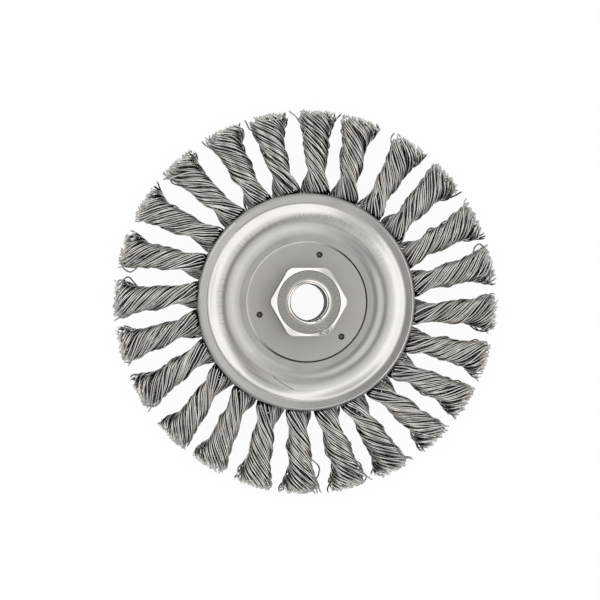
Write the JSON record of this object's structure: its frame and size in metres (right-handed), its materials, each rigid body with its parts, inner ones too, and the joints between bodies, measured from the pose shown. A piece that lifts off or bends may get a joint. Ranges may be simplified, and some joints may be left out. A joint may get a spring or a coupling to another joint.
{
  "type": "wire wheel brush",
  "caption": "Round brush of twisted steel-wire knots clamped between two domed steel plates, with a washer and a hexagonal threaded arbor nut.",
  "frame": {"origin": "on the arbor axis, at the floor that the wheel's back rests on", "axes": "+Z along the arbor axis towards the nut, +X and +Y in the plane of the wheel, as right and up in the picture"},
  "size_m": [0.125, 0.125, 0.0275],
  "materials": {
    "pressed_plate": "pressed zinc-plated steel sheet, satin with fine turning lines",
    "washer": "zinc-plated steel washer, satin",
    "nut": "turned and zinc-plated hexagon bar, satin",
    "core": "stamped bare steel",
    "wire": "drawn and crimped carbon-steel wire, bright"
  },
  "bodies": {
    "root": {"front_plate": "pressed_plate", "back_plate": "pressed_plate", "hub_washer": "washer", "arbor_nut": "nut", "core_disc": "core", "hub_spacer_front": "core", "hub_spacer_back": "core", "knot_01": "wire", "knot_02": "wire", "knot_03": "wire", "knot_04": "wire", "knot_05": "wire", "knot_06": "wire", "knot_07": "wire", "knot_08": "wire", "knot_09": "wire", "knot_10": "wire", "knot_11": "wire", "knot_12": "wire", "knot_13": "wire", "knot_14": "wire", "knot_15": "wire", "knot_16": "wire", "knot_17": "wire", "knot_18": "wire", "knot_19": "wire", "knot_20": "wire", "knot_21": "wire", "knot_22": "wire", "knot_23": "wire", "knot_24": "wire"}
  },
  "joints": []
}
